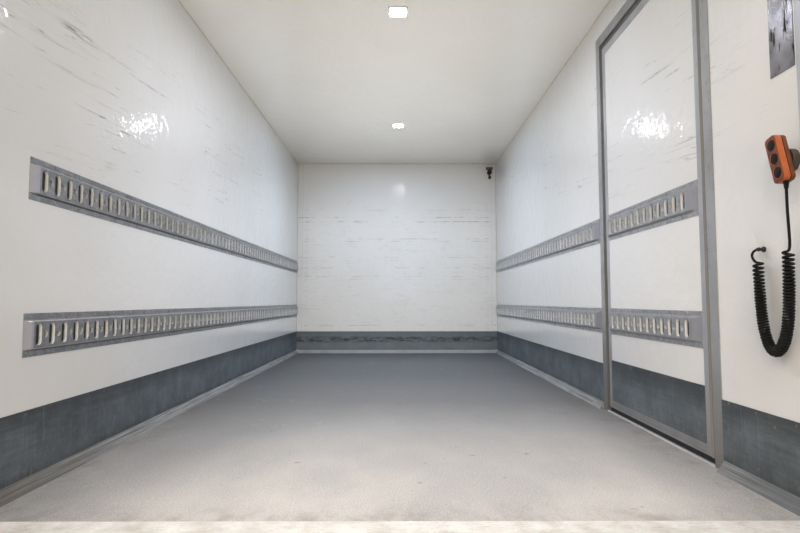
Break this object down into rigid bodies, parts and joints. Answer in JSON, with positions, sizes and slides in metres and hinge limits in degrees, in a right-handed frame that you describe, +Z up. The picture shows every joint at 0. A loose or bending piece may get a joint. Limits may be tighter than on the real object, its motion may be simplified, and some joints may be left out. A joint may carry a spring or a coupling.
{
  "type": "refrigerated truck load box",
  "caption": "Insulated truck load box with white panel walls, slotted lashing rails, kick plates, a side door and two rear doors that swing open.",
  "frame": {"origin": "on the ground under the middle of the overall box, with the rear doors open straight out to the sides", "axes": "+Z up, +Y towards the front wall, +X to the right side with the side door"},
  "size_m": [4.6526, 4.785, 2.393],
  "materials": {
    "white_gelcoat": "glossy glass-fibre gelcoat, lightly scuffed",
    "floor_coating": "granular non-slip resin",
    "aluminium_profile": "satin anodised extrusion",
    "galvanised_steel": "zinc coated, blotchy",
    "sill_steel": "worn bright sill plate",
    "kick_sheet": "dark weathered sheet",
    "seal_rubber": "moulded rubber",
    "lamp_case": "clear lens over white case",
    "sensor_grey": "moulded",
    "wear_steel": "thin bright sheet",
    "handset_orange": "moulded shell",
    "black_plastic": "moulded",
    "cord_black": "satin polyurethane jacket",
    "chassis_steel": "satin black coat",
    "lamp_clear": "clear lens",
    "lamp_amber": "amber lens",
    "lamp_red": "red lens"
  },
  "bodies": {
    "box_body": {"ceiling_lamps": "lamp_case", "cord_coil": "cord_black", "cord_gland": "black_plastic", "cord_straight": "cord_black", "cord_tail": "cord_black", "cross_members": "chassis_steel", "dock_buffers": "seal_rubber", "floor_coves": "aluminium_profile", "floor_edge_profiles": "aluminium_profile", "floor_panel": "floor_coating", "front_corner_profiles": "aluminium_profile", "front_marker_lamps": "lamp_clear", "front_wall": "white_gelcoat", "handset": "handset_orange", "handset_holder": "black_plastic", "hinge_brackets": "galvanised_steel", "kick_plates": "kick_sheet", "left_lashing_rails": "galvanised_steel", "left_wall": "white_gelcoat", "lock_keepers": "galvanised_steel", "mounting_brackets": "chassis_steel", "rear_frame": "aluminium_profile", "rear_marker_lamps": "lamp_red", "rear_sill": "sill_steel", "right_lashing_rails": "galvanised_steel", "right_wall": "white_gelcoat", "roof_edge_profiles": "aluminium_profile", "roof_panel": "white_gelcoat", "side_door_frame": "aluminium_profile", "side_marker_lamps": "lamp_amber", "subframe_runners": "chassis_steel", "temperature_sensor": "sensor_grey", "wear_plate": "wear_steel"},
    "side_door": {"side_door_edge_frame": "aluminium_profile", "side_door_hinges": "galvanised_steel", "side_door_kick_plate": "kick_sheet", "side_door_lashing_rails": "galvanised_steel", "side_door_lock_gear": "galvanised_steel", "side_door_panel": "white_gelcoat", "side_door_seal": "seal_rubber"},
    "left_rear_door": {"left_rear_door_edge_frame": "aluminium_profile", "left_rear_door_hinges": "galvanised_steel", "left_rear_door_lock_gear": "galvanised_steel", "left_rear_door_panel": "white_gelcoat", "left_rear_door_seal": "seal_rubber"},
    "right_rear_door": {"right_rear_door_edge_frame": "aluminium_profile", "right_rear_door_hinges": "galvanised_steel", "right_rear_door_lock_gear": "galvanised_steel", "right_rear_door_panel": "white_gelcoat", "right_rear_door_seal": "seal_rubber"}
  },
  "joints": [
    {"name": "side_door_swing", "type": "hinge", "parent": "box_body", "child": "side_door", "pos_m": [1.1675, -0.7955, 1.2], "axis": [0, 0, 1], "range_deg": [0, 175]},
    {"name": "left_rear_door_swing", "type": "hinge", "parent": "box_body", "child": "left_rear_door", "pos_m": [-1.165, -2.3185, 1.3], "axis": [0, 0, -1], "range_deg": [-180, 85]},
    {"name": "right_rear_door_swing", "type": "hinge", "parent": "box_body", "child": "right_rear_door", "pos_m": [1.165, -2.3185, 1.3], "axis": [0, 0, 1], "range_deg": [-180, 85]}
  ]
}
